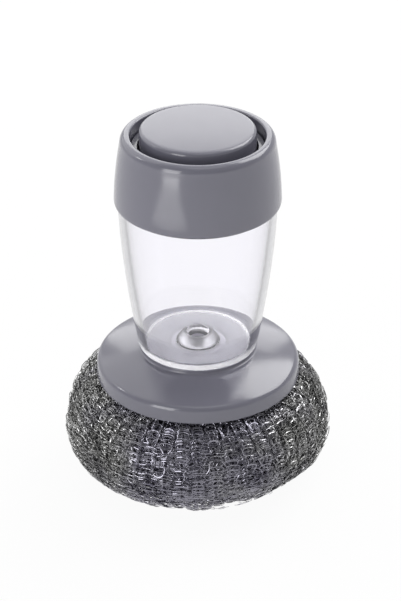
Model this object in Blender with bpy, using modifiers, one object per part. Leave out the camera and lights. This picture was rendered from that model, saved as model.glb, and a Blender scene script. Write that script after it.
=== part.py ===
# Soap-dispensing scourer: a press pump in a screw cap, a clear soap jar, a flanged head and a
# knitted steel scourer. Metres, +Z up, origin on the floor under the middle of the scourer.

import math

import bmesh
import bpy
from mathutils import Matrix, Vector

# Fits
clearance = 0.0003  # between pieces that touch
running_clearance = 0.0004  # around pieces that slide or turn in each other
cut_overrun = 0.002  # how far a cutter runs past what it cuts
weld_distance = 0.000001

# Scourer
scourer_radius = 0.0447
scourer_height = 0.0368  # up to the flange's lower edge
scourer_waist_height = 0.0171  # level of its widest ring
scourer_sole_radius = 0.0248
scourer_crown_radius = 0.0224  # where the upper curve would lie level
scourer_plug_height = 0.0032  # how far the wool stands up inside the flange
scourer_edge_fillet = 0.0012
lower_curve_power = 1.82
upper_curve_power = 2.6
round_curve_power = 2.0  # of an even quarter ellipse
gather_depth = 0.0007
gather_count = 12

# Retainer that holds the scourer, with its hollow stem
retainer_radius = 0.0140
retainer_thickness = 0.0024
retainer_recess = 0.0048  # from the floor up to the disc
retainer_fillet = 0.0006
scallop_radius = 0.0022
scallop_depth = 0.0015
scallop_count = 8
stem_radius = 0.0050
stem_bore_radius = 0.0019
stem_engagement = 0.0054  # length of stem inside the head's socket
stem_chamfer = 0.0006
stem_window_width = 0.0022
stem_window_height = 0.0060
stem_window_rise = 0.0060  # from the disc to the windows
grip_tooth_radius = 0.0009
grip_tooth_tip = 0.0003
grip_tooth_height = 0.0020
grip_tooth_place = 0.0103
grip_tooth_count = 6
stem_groove_depth = 0.0011
stem_groove_length = 0.0022
stem_groove_drop = 0.0018  # from the stem's tip

# Wire tie that gathers the scourer round the stem
tie_wire_radius = 0.0007
tie_height = 0.0215

# Flanged head
flange_radius = 0.0339
flange_draft = 0.0003
flange_rim_height = 0.0055  # up to the corner of side and dome
flange_shoulder_round = 0.0032
flange_edge_round = 0.0003
dome_rise = 0.00395
dome_bulge = 0.00026
head_neck_radius = 0.0191
head_neck_height = 0.00145
head_fillet = 0.0005
flange_wall = 0.0022
socket_wall = 0.0022
socket_floor = 0.0021  # under the seal's counterbore
rib_thickness = 0.0012
rib_count = 8

# Jar
jar_foot_radius = 0.0197
jar_top_radius = 0.0256
jar_side_height = 0.05325  # from the foot to the shoulder inside the cap's foot
jar_wall = 0.0024
jar_curve_power = 1.65
jar_floor = 0.0012
jar_floor_round = 0.0016
jar_foot_round = 0.0006
jar_shoulder_round = 0.0009
jar_neck_radius = 0.0234
jar_neck_wall = 0.0025
jar_neck_height = 0.01045
outlet_boss_height = 0.0030
outlet_boss_radius = 0.00485
outlet_boss_round = 0.0007
outlet_bore_radius = 0.0027
outlet_mouth_radius = 0.0038  # of the funnel at the boss's top
outlet_seat_drop = 0.0008  # from the foot down to the valve's seat
spigot_radius = 0.0070
spigot_wall = 0.0020
spigot_length = 0.0080

# Slit valve and nozzle in the spigot
valve_flange_thickness = 0.0012
valve_dome_radius = 0.0030
valve_dome_depth = 0.0024
valve_wall = 0.0007
valve_slit_width = 0.0003
valve_slit_length = 0.0040
nozzle_bore_radius = 0.0019
nozzle_flange_thickness = 0.0010

# Round seal between jar and head
seal_wire_radius = 0.0011

# Cap collar
collar_foot_radius = 0.0268
collar_crest_radius = 0.0246
collar_side_height = 0.0205
collar_height = 0.02295
collar_curve_power = 1.7
collar_foot_round = 0.0005
collar_foot_lead = 0.0011  # height over which the foot draws in
collar_foot_taper = 0.0004
collar_lap = 0.0012  # how far the jar's wall stands up inside the foot
collar_roll_width = 0.0020
collar_roll_height = 0.0026
collar_inner_round = 0.0008
well_radius = 0.0214
thread_room = 0.0010  # radial room for the screw threads

# Guide ring, the floor of the well round the button
guide_rim_height = 0.0019
guide_floor_rise = 0.0017  # of the well's floor above the rim
guide_round = 0.0003

# Button
button_radius = 0.0186
button_draft = 0.0002
button_proud = 0.00225  # above the collar's crest
button_crown = 0.0003
button_height = 0.0100
button_wall = 0.0016
button_top_thickness = 0.0020
button_edge_round = 0.0014
button_fillet = 0.0004
button_travel = 0.0050
boss_wall = 0.0016
boss_length = 0.0060

# Gasket and pump housing
gasket_thickness = 0.0015
housing_flange_thickness = 0.0018
housing_wall = 0.0014
housing_floor = 0.0015
housing_fillet = 0.0006
barrel_bore_radius = 0.0095
barrel_wall = 0.0015

# Piston
rod_radius = 0.0026
piston_disc_thickness = 0.0012
piston_neck_length = 0.0018
piston_neck_radius = 0.0042
piston_disc_inset = 0.0012  # from the barrel's wall
piston_fillet = 0.0003
seal_lip_length = 0.0022
seal_lip_thickness = 0.0006

# End plate of the barrel and its umbrella valve
end_plate_thickness = 0.0015
end_plug_length = 0.0009
end_plug_wall = 0.0011
air_hole_radius = 0.0006
air_hole_count = 6
air_stem_radius = 0.0013
air_disc_radius = 0.0050
air_disc_thickness = 0.0009
air_disc_edge = 0.0004
air_bulb_radius = 0.0019
air_bulb_height = 0.0008

# Return spring
spring_wire_radius = 0.0005
spring_radius = 0.0071
spring_turns = 6
spring_points_per_turn = 10

# Smoothness
large_steps = 36
middle_steps = 30
small_steps = 20
ring_sides = 8
cutter_sides = 12
corner_steps = 2
curve_steps = 5
crown_steps = 2
sharp_angle = math.radians(32)
fillet_reach_share = 0.48

# Levels that follow from the sizes
flange_z = scourer_height + clearance
dome_top = flange_rim_height + dome_rise
neck_top = dome_top + head_neck_height
jar_z = flange_z + neck_top + clearance
jar_height = jar_side_height + jar_neck_height
collar_z = jar_z + jar_side_height + clearance - collar_lap
gasket_z = jar_z + jar_height + clearance
housing_z = gasket_z + gasket_thickness + clearance
guide_z = housing_z + housing_flange_thickness + clearance
ledge_z = guide_z + guide_rim_height + clearance
button_z = collar_z + collar_height + button_proud - button_crown - button_height
cup_floor_z = button_z - button_travel - running_clearance
barrel_top_z = cup_floor_z - housing_floor
piston_length = 2 * piston_disc_thickness + piston_neck_length
piston_z = barrel_top_z - clearance - piston_length
barrel_end_z = piston_z - button_travel - running_clearance - end_plug_length
end_plate_z = barrel_end_z - clearance - end_plate_thickness
air_valve_z = end_plate_z - clearance - air_disc_thickness
valve_z = jar_z - outlet_seat_drop - clearance - valve_flange_thickness
nozzle_z = jar_z - spigot_length - clearance - nozzle_flange_thickness
stem_top_z = nozzle_z - clearance
stem_socket_z = stem_top_z - stem_engagement
retainer_top_z = retainer_recess + retainer_thickness

# Radii that follow from the sizes
flange_rim_radius = flange_radius - flange_draft
flange_inner_radius = flange_rim_radius - flange_wall
spigot_bore_radius = spigot_radius - spigot_wall
sleeve_radius = spigot_bore_radius - clearance
socket_bore_radius = spigot_radius + clearance
socket_radius = socket_bore_radius + socket_wall
stem_socket_bore = stem_radius + clearance
stem_socket_radius = stem_socket_bore + socket_wall
seal_centre_radius = socket_bore_radius + seal_wire_radius
counterbore_radius = seal_centre_radius + seal_wire_radius + clearance
counterbore_depth = 2 * seal_wire_radius + clearance
jar_neck_bore = jar_neck_radius - jar_neck_wall
cup_radius = jar_neck_bore - running_clearance
cup_bore = cup_radius - housing_wall
collar_bore = jar_neck_radius + thread_room
cap_fit_radius = collar_bore - clearance
lap_radius = jar_top_radius + clearance
guide_bore = button_radius + running_clearance
barrel_radius = barrel_bore_radius + barrel_wall
rod_bore = rod_radius + clearance
boss_radius = rod_bore + boss_wall
piston_disc_radius = barrel_bore_radius - piston_disc_inset


def clear_scene():
    for piece in list(bpy.data.objects):
        bpy.data.objects.remove(piece, do_unlink=True)
    for group in list(bpy.data.collections):
        bpy.data.collections.remove(group)


def new_collection(name):
    group = bpy.data.collections.new(name)
    bpy.context.scene.collection.children.link(group)
    return group


def new_material(name, colour, roughness, metallic=0.0, alpha=1.0):
    material = bpy.data.materials.new(name)
    material.use_nodes = True
    shader = material.node_tree.nodes["Principled BSDF"]
    shader.inputs["Base Color"].default_value = (*colour, 1.0)
    shader.inputs["Roughness"].default_value = roughness
    shader.inputs["Metallic"].default_value = metallic
    shader.inputs["Alpha"].default_value = alpha
    return material


def carrier(name, height, parent=None):
    """An empty on the shared axis that carries the pieces which move together."""
    empty = bpy.data.objects.new(name, None)
    part_collection.objects.link(empty)
    empty.parent = parent
    empty.location.z = height - world_height(parent)
    return empty


def world_height(item):
    """Height of an object on the axis, added up through its parents."""
    height = 0
    while item:
        height += item.location.z
        item = item.parent
    return height


def add_piece(name, mesh, material, height, parent):
    piece = bpy.data.objects.new(name, mesh)
    part_collection.objects.link(piece)
    piece.data.materials.append(material)
    piece.parent = parent
    piece.location.z = height - world_height(parent)
    return piece


def rounded(corners, closed=True):
    """The outline through (radius, height, fillet) corners, with each fillet as a short arc."""
    points = []
    last = len(corners) - 1
    for index, (radius, height, fillet) in enumerate(corners):
        corner = Vector((radius, height))
        is_end = not closed and index in (0, last)
        if fillet == 0 or is_end:
            points.append(corner)
            continue
        before = Vector(corners[index - 1][:2]) - corner
        after = Vector(corners[(index + 1) % len(corners)][:2]) - corner
        half_angle = before.angle(after) / 2
        longest_reach = fillet_reach_share * min(before.length, after.length)
        reach = min(fillet / math.tan(half_angle), longest_reach)
        arc_radius = reach * math.tan(half_angle)
        inward = (before.normalized() + after.normalized()).normalized()
        centre = corner + inward * arc_radius / math.sin(half_angle)
        start = corner + before.normalized() * reach - centre
        end = corner + after.normalized() * reach - centre
        for step in range(corner_steps + 1):
            direction = start.lerp(end, step / corner_steps).normalized()
            points.append(centre + direction * arc_radius)
    return points


def turned(name, outline, material, steps, height, parent, closed=True):
    """A piece turned on the Z axis. Its outline runs down the outer side, top to bottom."""
    mesh = bpy.data.meshes.new(name)
    count = len(outline)
    edges = [(index, (index + 1) % count) for index in range(count if closed else count - 1)]
    mesh.from_pydata([(point.x, 0, point.y) for point in outline], edges, [])
    piece = add_piece(name, mesh, material, height, parent)
    screw = piece.modifiers.new("turn", "SCREW")
    screw.steps = steps
    screw.render_steps = steps
    screw.use_merge_vertices = True
    screw.merge_threshold = weld_distance
    return piece


def ring_outline(centre_radius, wire_radius):
    """The round section of a ring, from its top down its outer side."""
    points = []
    for index in range(ring_sides):
        angle = math.tau * index / ring_sides
        across = centre_radius + wire_radius * math.sin(angle)
        points.append(Vector((across, wire_radius * math.cos(angle))))
    return points


def quarter_curve(centre, reach, power, steps):
    """A superellipse quarter from level with its centre to straight over or under it."""
    points = []
    for step in range(steps + 1):
        angle = math.pi / 2 * step / steps
        across = reach.x * math.cos(angle) ** (2 / power)
        along = reach.y * math.sin(angle) ** (2 / power)
        points.append(Vector((centre.x + across, centre.y + along)))
    return points


def helper(name, shape):
    """A shape that cuts or joins, kept out of the part in its own collection."""
    mesh = bpy.data.meshes.new(name)
    shape.to_mesh(mesh)
    shape.free()
    tool = bpy.data.objects.new(name, mesh)
    cutter_collection.objects.link(tool)
    tool.hide_render = True
    tool.display_type = "WIRE"
    return tool


def combine(piece, operation, tool):
    boolean = piece.modifiers.new(tool.name, "BOOLEAN")
    boolean.operation = operation
    boolean.solver = "EXACT"
    boolean.object = tool


def box_helper(name, low, high, turns=(0,)):
    """Boxes between two corners, one for each turn about the Z axis."""
    shape = bmesh.new()
    centre = (Vector(low) + Vector(high)) / 2
    size = Vector(high) - Vector(low)
    for turn in turns:
        spot = Matrix.Rotation(turn, 4, "Z") @ Matrix.Translation(centre)
        bmesh.ops.create_cube(shape, size=1, matrix=spot @ Matrix.Diagonal((*size, 1)))
    return helper(name, shape)


def post_helper(name, radius, tip_radius, low_z, high_z, place, count):
    """Upright posts or cones on a circle round the Z axis."""
    shape = bmesh.new()
    for index in range(count):
        turn = Matrix.Rotation(math.tau * index / count, 4, "Z")
        spot = turn @ Matrix.Translation((place, 0, (low_z + high_z) / 2))
        bmesh.ops.create_cone(
            shape,
            cap_ends=True,
            segments=cutter_sides,
            radius1=radius,
            radius2=tip_radius,
            depth=high_z - low_z,
            matrix=spot,
        )
    return helper(name, shape)


def dome_height(radius):
    """Height of the flange's outer face over its lower edge, from the neck out to the rim."""
    share = (radius - head_neck_radius) / (flange_rim_radius - head_neck_radius)
    return dome_top - dome_rise * share + 4 * dome_bulge * share * (1 - share)


def dome_corners(inner_end, outer_end, depth):
    """Points along the dome, at a depth under its outer face."""
    corners = []
    for step in range(1, curve_steps):
        radius = inner_end + (outer_end - inner_end) * step / curve_steps
        corners.append((radius, dome_height(radius) - depth, 0))
    return corners


def jar_radius(height):
    share = height / jar_side_height
    return jar_foot_radius + (jar_top_radius - jar_foot_radius) * (1 - (1 - share) ** jar_curve_power)


def collar_radius(height):
    share = height / collar_side_height
    return collar_foot_radius - (collar_foot_radius - collar_crest_radius) * share**collar_curve_power


def wool_outline():
    """Section of the scourer: plug inside the flange, crown, waist, sole, recess and centre hole."""
    plug_radius = flange_inner_radius - running_clearance
    plug_top = scourer_height + scourer_plug_height
    plug_bore = socket_radius + running_clearance
    tie_room = tie_wire_radius + clearance
    recess_radius = retainer_radius + clearance
    recess_top = retainer_top_z + grip_tooth_height + clearance
    crown = quarter_curve(
        Vector((scourer_crown_radius, scourer_waist_height)),
        Vector((scourer_radius - scourer_crown_radius, scourer_height - scourer_waist_height)),
        upper_curve_power,
        2 * curve_steps,
    )
    belly = quarter_curve(
        Vector((scourer_sole_radius, scourer_waist_height)),
        Vector((scourer_radius - scourer_sole_radius, -scourer_waist_height)),
        lower_curve_power,
        curve_steps,
    )
    corners = [
        (plug_bore, plug_top, 0),
        (plug_radius, plug_top, scourer_edge_fillet),
        (plug_radius, scourer_height, 0),
    ]
    points = rounded(corners)
    points += [point for point in reversed(crown) if point.x > flange_radius]
    points += belly[1:]
    points += rounded(
        [
            (recess_radius, 0, 0),
            (recess_radius, recess_top, 0),
            (stem_socket_bore, recess_top, 0),
            (stem_socket_bore, tie_height - tie_room, 0),
            (stem_socket_bore + 2 * tie_room, tie_height - tie_room, 0),
            (stem_socket_bore + 2 * tie_room, tie_height + tie_room, 0),
            (stem_socket_bore, tie_height + tie_room, 0),
            (stem_socket_bore, stem_socket_z - clearance, 0),
            (plug_bore, stem_socket_z - clearance, 0),
        ]
    )
    return points


def make_scourer():
    """One turned ring of wool, whose outside is drawn into shallow gathers."""
    shape = bmesh.new()
    verts = [shape.verts.new((point.x, 0, point.y)) for point in wool_outline()]
    edges = [shape.edges.new((verts[index - 1], verts[index])) for index in range(len(verts))]
    bmesh.ops.spin(
        shape,
        geom=verts + edges,
        axis=(0, 0, 1),
        cent=(0, 0, 0),
        angle=math.tau,
        steps=4 * gather_count,
        use_merge=True,
    )
    bmesh.ops.remove_doubles(shape, verts=shape.verts, dist=weld_distance)
    bmesh.ops.recalc_face_normals(shape, faces=shape.faces)
    for vert in shape.verts:
        radius = math.hypot(vert.co.x, vert.co.y)
        if radius < scourer_sole_radius or vert.co.z > scourer_height - clearance:
            continue
        share = (radius - scourer_sole_radius) / (scourer_radius - scourer_sole_radius)
        wave = math.cos(gather_count * math.atan2(vert.co.y, vert.co.x))
        drawn_in = share * gather_depth * (1 - wave) / 2
        vert.co.x *= 1 - drawn_in / radius
        vert.co.y *= 1 - drawn_in / radius
    mesh = bpy.data.meshes.new("steel_scourer")
    shape.to_mesh(mesh)
    shape.free()
    return add_piece("steel_scourer", mesh, steel_wool, 0, head_root)


def make_tie():
    """Closed ring of wire that gathers the wool round the stem."""
    centre = stem_socket_bore + tie_wire_radius
    outline = ring_outline(centre, tie_wire_radius)
    return turned("scourer_tie", outline, steel_wire, small_steps, tie_height, head_root)


def make_retainer():
    """A scalloped disc under the wool, with grip teeth and a hollow stem that plugs into the head."""
    stem_top = stem_top_z - retainer_recess
    groove_top = stem_top - stem_groove_drop
    groove_low = groove_top - stem_groove_length
    groove_radius = stem_radius - stem_groove_depth
    outline = rounded(
        [
            (stem_radius, stem_top, stem_chamfer),
            (stem_radius, groove_top, 0),
            (groove_radius, groove_top, 0),
            (groove_radius, groove_low, 0),
            (stem_radius, groove_low, 0),
            (stem_radius, retainer_thickness, retainer_fillet),
            (retainer_radius, retainer_thickness, retainer_fillet),
            (retainer_radius, 0, retainer_fillet),
            (stem_bore_radius, 0, 0),
            (stem_bore_radius, stem_top, 0),
        ]
    )
    piece = turned("scourer_retainer", outline, grey_plastic, small_steps, retainer_recess, head_root)
    scallops = post_helper(
        "retainer_scallops",
        scallop_radius,
        scallop_radius,
        retainer_recess - cut_overrun,
        retainer_top_z + cut_overrun,
        retainer_radius + scallop_radius - scallop_depth,
        scallop_count,
    )
    window_z = retainer_top_z + stem_window_rise
    windows = box_helper(
        "stem_windows",
        (0, -stem_window_width / 2, window_z),
        (stem_radius + cut_overrun, stem_window_width / 2, window_z + stem_window_height),
        turns=[math.pi / 2 * quarter for quarter in range(4)],
    )
    teeth = post_helper(
        "grip_teeth",
        grip_tooth_radius,
        grip_tooth_tip,
        retainer_top_z - retainer_thickness / 2,
        retainer_top_z + grip_tooth_height,
        grip_tooth_place,
        grip_tooth_count,
    )
    combine(piece, "DIFFERENCE", scallops)
    combine(piece, "DIFFERENCE", windows)
    combine(piece, "UNION", teeth)
    return piece


def make_stem_seal():
    """Rubber ring in the groove of the retainer's stem."""
    high = stem_top_z - stem_groove_drop - clearance
    length = stem_groove_length - 2 * clearance
    inner = stem_radius - stem_groove_depth + clearance
    corners = [(stem_radius, length, 0), (stem_radius, 0, 0), (inner, 0, 0), (inner, length, 0)]
    return turned("stem_seal", rounded(corners), rubber, small_steps, high - length, head_root)


def make_head():
    """Flange, dome and neck as one moulded shell, with the jar's socket and ribs inside."""
    plate_low = neck_top - counterbore_depth - socket_floor
    step_z = stem_top_z - flange_z
    sleeve_end = step_z - socket_wall
    bottom = stem_socket_z - flange_z
    corners = [
        (head_neck_radius, neck_top, head_fillet),
        (head_neck_radius, dome_top, head_fillet),
    ]
    corners += dome_corners(head_neck_radius, flange_rim_radius, 0)
    corners += [
        (flange_rim_radius, flange_rim_height, flange_shoulder_round),
        (flange_radius, 0, flange_edge_round),
        (flange_inner_radius + flange_draft, 0, 0),
        (flange_inner_radius, dome_height(flange_inner_radius) - flange_wall, head_fillet),
    ]
    corners += reversed(dome_corners(head_neck_radius, flange_inner_radius, flange_wall))
    corners += [
        (head_neck_radius, plate_low, 0),
        (socket_radius, plate_low, head_fillet),
        (socket_radius, sleeve_end, head_fillet),
        (stem_socket_radius, sleeve_end, 0),
        (stem_socket_radius, bottom, 0),
        (stem_socket_bore, bottom, 0),
        (stem_socket_bore, step_z, 0),
        (socket_bore_radius, step_z, 0),
        (socket_bore_radius, neck_top - counterbore_depth, 0),
        (counterbore_radius, neck_top - counterbore_depth, 0),
        (counterbore_radius, neck_top, 0),
    ]
    piece = turned("base_flange", rounded(corners), grey_plastic, large_steps, flange_z, head_body)
    combine(piece, "UNION", rib_helper(plate_low))
    return piece


def rib_helper(plate_low):
    """Radial ribs under the dome. Their edge follows it inside the wall, and clears the wool."""
    low = scourer_height + scourer_plug_height + clearance
    sunk = flange_wall / 2
    start = (socket_radius + socket_bore_radius) / 2
    end = flange_inner_radius + sunk / 2
    outline = [(start, low), (end, low), (end, flange_z + dome_height(end) - flange_wall)]
    for radius, height, _ in reversed(dome_corners(head_neck_radius, end, sunk)):
        outline.append((radius, flange_z + height))
    outline.append((start, flange_z + plate_low + sunk))
    shape = bmesh.new()
    for index in range(rib_count):
        verts = [shape.verts.new((x, -rib_thickness / 2, z)) for x, z in outline]
        face = shape.faces.new(verts)
        grown = bmesh.ops.extrude_face_region(shape, geom=[face])
        moved = [item for item in grown["geom"] if isinstance(item, bmesh.types.BMVert)]
        bmesh.ops.translate(shape, verts=moved, vec=(0, rib_thickness, 0))
        turn = Matrix.Rotation(math.tau * index / rib_count, 3, "Z")
        bmesh.ops.rotate(shape, verts=verts + moved, cent=(0, 0, 0), matrix=turn)
    bmesh.ops.recalc_face_normals(shape, faces=shape.faces)
    return helper("flange_ribs", shape)


def make_neck_seal():
    """Round silicone ring in the counterbore round the jar's spigot."""
    height = flange_z + neck_top - seal_wire_radius
    outline = ring_outline(seal_centre_radius, seal_wire_radius)
    return turned("neck_seal", outline, silicone, middle_steps, height, jar_rise)


def make_jar():
    """Clear jar with a screw neck, a raised outlet in its floor and a spigot under it."""
    outer = []
    inner = []
    for step in range(1, curve_steps):
        height = jar_side_height * step / curve_steps
        outer.append((jar_radius(height), height, 0))
        if height > jar_floor + 2 * jar_floor_round:
            inner.append((jar_radius(height) - jar_wall, height, 0))
    boss_top = jar_floor + outlet_boss_height
    corners = [
        (jar_neck_radius, jar_height, outlet_boss_round / 2),
        (jar_neck_radius, jar_side_height, 0),
        (jar_top_radius, jar_side_height, jar_shoulder_round),
    ]
    corners += reversed(outer)
    corners += [
        (jar_foot_radius, 0, jar_foot_round),
        (spigot_radius, 0, 0),
        (spigot_radius, -spigot_length, 0),
        (spigot_bore_radius, -spigot_length, 0),
        (spigot_bore_radius, -outlet_seat_drop, 0),
        (outlet_bore_radius, -outlet_seat_drop, 0),
        (outlet_bore_radius, jar_floor, 0),
        (outlet_mouth_radius, boss_top, outlet_boss_round),
        (outlet_boss_radius, boss_top, outlet_boss_round),
        (spigot_radius, jar_floor, outlet_boss_round),
        (jar_radius(jar_floor) - jar_wall, jar_floor, jar_floor_round),
    ]
    corners += inner
    corners += [
        (jar_top_radius - jar_wall, jar_side_height - jar_wall, jar_shoulder_round),
        (jar_neck_bore, jar_side_height - jar_wall / 2, jar_shoulder_round),
        (jar_neck_bore, jar_height, outlet_boss_round / 2),
    ]
    return turned("reservoir_jar", rounded(corners), clear_plastic, large_steps, jar_z, jar_body)


def make_outlet_valve():
    """Silicone disc with a slit dome, held under the jar's floor."""
    dome_top_radius = valve_dome_radius - valve_wall
    inner_apex = valve_wall - valve_dome_depth
    outline = rounded(
        [
            (0, inner_apex, 0),
            (dome_top_radius / 2, inner_apex, valve_wall),
            (dome_top_radius, 0, valve_wall),
            (dome_top_radius, valve_flange_thickness, 0),
            (sleeve_radius, valve_flange_thickness, 0),
            (sleeve_radius, 0, 0),
            (valve_dome_radius, 0, 0),
            (valve_dome_radius / 2 + valve_wall / 2, -valve_dome_depth, valve_wall),
            (0, -valve_dome_depth, 0),
        ],
        closed=False,
    )
    piece = turned("outlet_valve", outline, silicone, small_steps, valve_z, jar_body, closed=False)
    slit = box_helper(
        "valve_slit",
        (-valve_slit_length / 2, -valve_slit_width / 2, valve_z - valve_dome_depth - cut_overrun),
        (valve_slit_length / 2, valve_slit_width / 2, valve_z - valve_wall / 2),
    )
    cross = box_helper(
        "valve_cross_slit",
        (-valve_slit_width / 2, -valve_slit_length / 2, valve_z - valve_dome_depth - cut_overrun),
        (valve_slit_width / 2, valve_slit_length / 2, valve_z - valve_wall / 2),
    )
    combine(piece, "DIFFERENCE", slit)
    combine(piece, "DIFFERENCE", cross)
    return piece


def make_nozzle():
    """Pressed-in nozzle that holds the slit valve and leads the soap down into the stem."""
    sleeve_low = nozzle_flange_thickness
    top = valve_z - clearance - nozzle_z
    cup = top - valve_dome_depth - clearance
    cup_radius_here = valve_dome_radius + clearance
    corners = [
        (sleeve_radius, top, 0),
        (sleeve_radius, sleeve_low, 0),
        (spigot_radius, sleeve_low, 0),
        (spigot_radius, 0, 0),
        (nozzle_bore_radius, 0, 0),
        (nozzle_bore_radius, cup, 0),
        (cup_radius_here, cup, 0),
        (cup_radius_here, top, 0),
    ]
    return turned("outlet_nozzle", rounded(corners), white_plastic, small_steps, nozzle_z, jar_body)


def make_gasket():
    corners = [
        (jar_neck_radius, gasket_thickness, 0),
        (jar_neck_radius, 0, 0),
        (jar_neck_bore, 0, 0),
        (jar_neck_bore, gasket_thickness, 0),
    ]
    return turned("lid_gasket", rounded(corners), silicone, large_steps, gasket_z, lid_lift)


def make_housing():
    """Flanged cup for the button and spring, with the pump's barrel under its floor."""
    floor_top = cup_floor_z - housing_z
    floor_low = barrel_top_z - housing_z
    barrel_end = barrel_end_z - housing_z
    corners = [
        (cap_fit_radius, housing_flange_thickness, 0),
        (cap_fit_radius, 0, 0),
        (cup_radius, 0, 0),
        (cup_radius, floor_low, housing_fillet),
        (barrel_radius, floor_low, 0),
        (barrel_radius, barrel_end, 0),
        (barrel_bore_radius, barrel_end, 0),
        (barrel_bore_radius, floor_low, 0),
        (rod_bore, floor_low, 0),
        (rod_bore, floor_top, 0),
        (cup_bore, floor_top, housing_fillet),
        (cup_bore, housing_flange_thickness, housing_fillet),
    ]
    return turned("pump_housing", rounded(corners), white_plastic, middle_steps, housing_z, pump_body)


def make_end_plate():
    """Plate that closes the barrel, with a hole for the air valve's stem and a ring of air holes."""
    plug_outer = barrel_bore_radius - clearance
    plug_inner = plug_outer - end_plug_wall
    plug_top = end_plate_thickness + clearance + end_plug_length
    stem_bore = air_stem_radius + clearance
    corners = [
        (barrel_radius, end_plate_thickness, 0),
        (barrel_radius, 0, 0),
        (stem_bore, 0, 0),
        (stem_bore, end_plate_thickness, 0),
        (plug_inner, end_plate_thickness, 0),
        (plug_inner, plug_top, 0),
        (plug_outer, plug_top, 0),
        (plug_outer, end_plate_thickness, 0),
    ]
    piece = turned("barrel_end_plate", rounded(corners), white_plastic, small_steps, end_plate_z, pump_body)
    holes = post_helper(
        "air_holes",
        air_hole_radius,
        air_hole_radius,
        end_plate_z - cut_overrun,
        end_plate_z + end_plate_thickness + cut_overrun,
        (stem_bore + air_disc_radius) / 2,
        air_hole_count,
    )
    combine(piece, "DIFFERENCE", holes)
    return piece


def make_air_valve():
    """Umbrella valve: its disc covers the air holes from below and a bulb holds it in the plate."""
    bulb_low = air_disc_thickness + end_plate_thickness + 2 * clearance
    bulb_top = bulb_low + air_bulb_height
    outline = rounded(
        [
            (0, bulb_top, 0),
            (air_bulb_radius, bulb_top, air_disc_edge),
            (air_bulb_radius, bulb_low, 0),
            (air_stem_radius, bulb_low, 0),
            (air_stem_radius, air_disc_thickness, 0),
            (air_disc_radius, air_disc_thickness, 0),
            (air_disc_radius, air_disc_thickness - air_disc_edge, 0),
            (0, 0, 0),
        ],
        closed=False,
    )
    return turned("air_valve", outline, silicone, small_steps, air_valve_z, pump_body, closed=False)


def make_guide_ring():
    """Ring under the collar's ledge: the floor of the well, and the button's guide."""
    floor_top = guide_rim_height + guide_floor_rise
    corners = [
        (well_radius - clearance, floor_top, guide_round),
        (well_radius - clearance, guide_rim_height, 0),
        (cap_fit_radius, guide_rim_height, 0),
        (cap_fit_radius, 0, 0),
        (guide_bore, 0, 0),
        (guide_bore, floor_top, guide_round),
    ]
    return turned("guide_ring", rounded(corners), grey_plastic, large_steps, guide_z, collar_body)


def make_collar():
    """Swelling outer wall that rolls over a round rim into the button's well."""
    ledge = ledge_z - collar_z
    roll_low = collar_height - collar_roll_height
    roll = quarter_curve(
        Vector((collar_radius(roll_low) - collar_roll_width, roll_low)),
        Vector((collar_roll_width, collar_roll_height)),
        round_curve_power,
        2 * crown_steps,
    )
    corners = [(point.x, point.y, 0) for point in reversed(roll)]
    for step in reversed(range(1, curve_steps)):
        height = roll_low * step / curve_steps
        corners.append((collar_radius(height), height, 0))
    corners += [
        (collar_radius(collar_foot_lead), collar_foot_lead, collar_foot_round),
        (collar_foot_radius - collar_foot_taper, 0, 0),
        (lap_radius, 0, 0),
        (lap_radius, collar_lap, 0),
        (collar_bore, collar_lap, 0),
        (collar_bore, ledge, 0),
        (well_radius, ledge, 0),
        (well_radius, collar_height, collar_inner_round),
    ]
    return turned("cap_collar", rounded(corners), grey_plastic, large_steps, collar_z, collar_body)


def make_button():
    """Crowned button with a drafted skirt and a boss that takes the piston's rod."""
    crown = []
    flat_radius = button_radius - button_draft
    for step in range(1, crown_steps):
        share = step / crown_steps
        crown.append((flat_radius * share, button_height + button_crown * (1 - share**2), 0))
    under = button_height - button_top_thickness
    outline = rounded(
        [(0, button_height + button_crown, 0)]
        + crown
        + [
            (flat_radius, button_height, button_edge_round),
            (button_radius, 0, button_fillet),
            (button_radius - button_wall, 0, 0),
            (button_radius - button_wall, under, button_fillet),
            (boss_radius, under, button_fillet),
            (boss_radius, under - boss_length, 0),
            (rod_bore, under - boss_length, 0),
            (rod_bore, under, 0),
            (0, under, 0),
        ],
        closed=False,
    )
    return turned("press_button", outline, grey_plastic, middle_steps, button_z, button_body, closed=False)


def make_piston():
    """Rod that plugs into the button, with two discs that hold the seal between them."""
    rod_top = button_z + button_height - button_top_thickness - clearance - piston_z
    neck_low = piston_disc_thickness
    neck_high = neck_low + piston_neck_length
    outline = rounded(
        [
            (0, rod_top, 0),
            (rod_radius, rod_top, piston_fillet),
            (rod_radius, piston_length, 0),
            (piston_disc_radius, piston_length, 0),
            (piston_disc_radius, neck_high, 0),
            (piston_neck_radius, neck_high, 0),
            (piston_neck_radius, neck_low, 0),
            (piston_disc_radius, neck_low, 0),
            (piston_disc_radius, 0, piston_fillet),
            (0, 0, 0),
        ],
        closed=False,
    )
    return turned("piston_rod", outline, white_plastic, small_steps, piston_z, button_body, closed=False)


def make_piston_seal():
    """Cup seal: a web between the piston's discs and a lip that hangs down the barrel's wall."""
    web_low = piston_z + piston_disc_thickness + clearance
    web = piston_neck_length - 2 * clearance
    outer = barrel_bore_radius - clearance
    inner = piston_neck_radius + clearance
    corners = [
        (outer, web, 0),
        (outer, web - seal_lip_length, 0),
        (outer - seal_lip_thickness, web - seal_lip_length, 0),
        (outer - seal_lip_thickness, 0, 0),
        (inner, 0, 0),
        (inner, web, 0),
    ]
    return turned("piston_seal", rounded(corners), silicone, small_steps, web_low, button_body)


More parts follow.
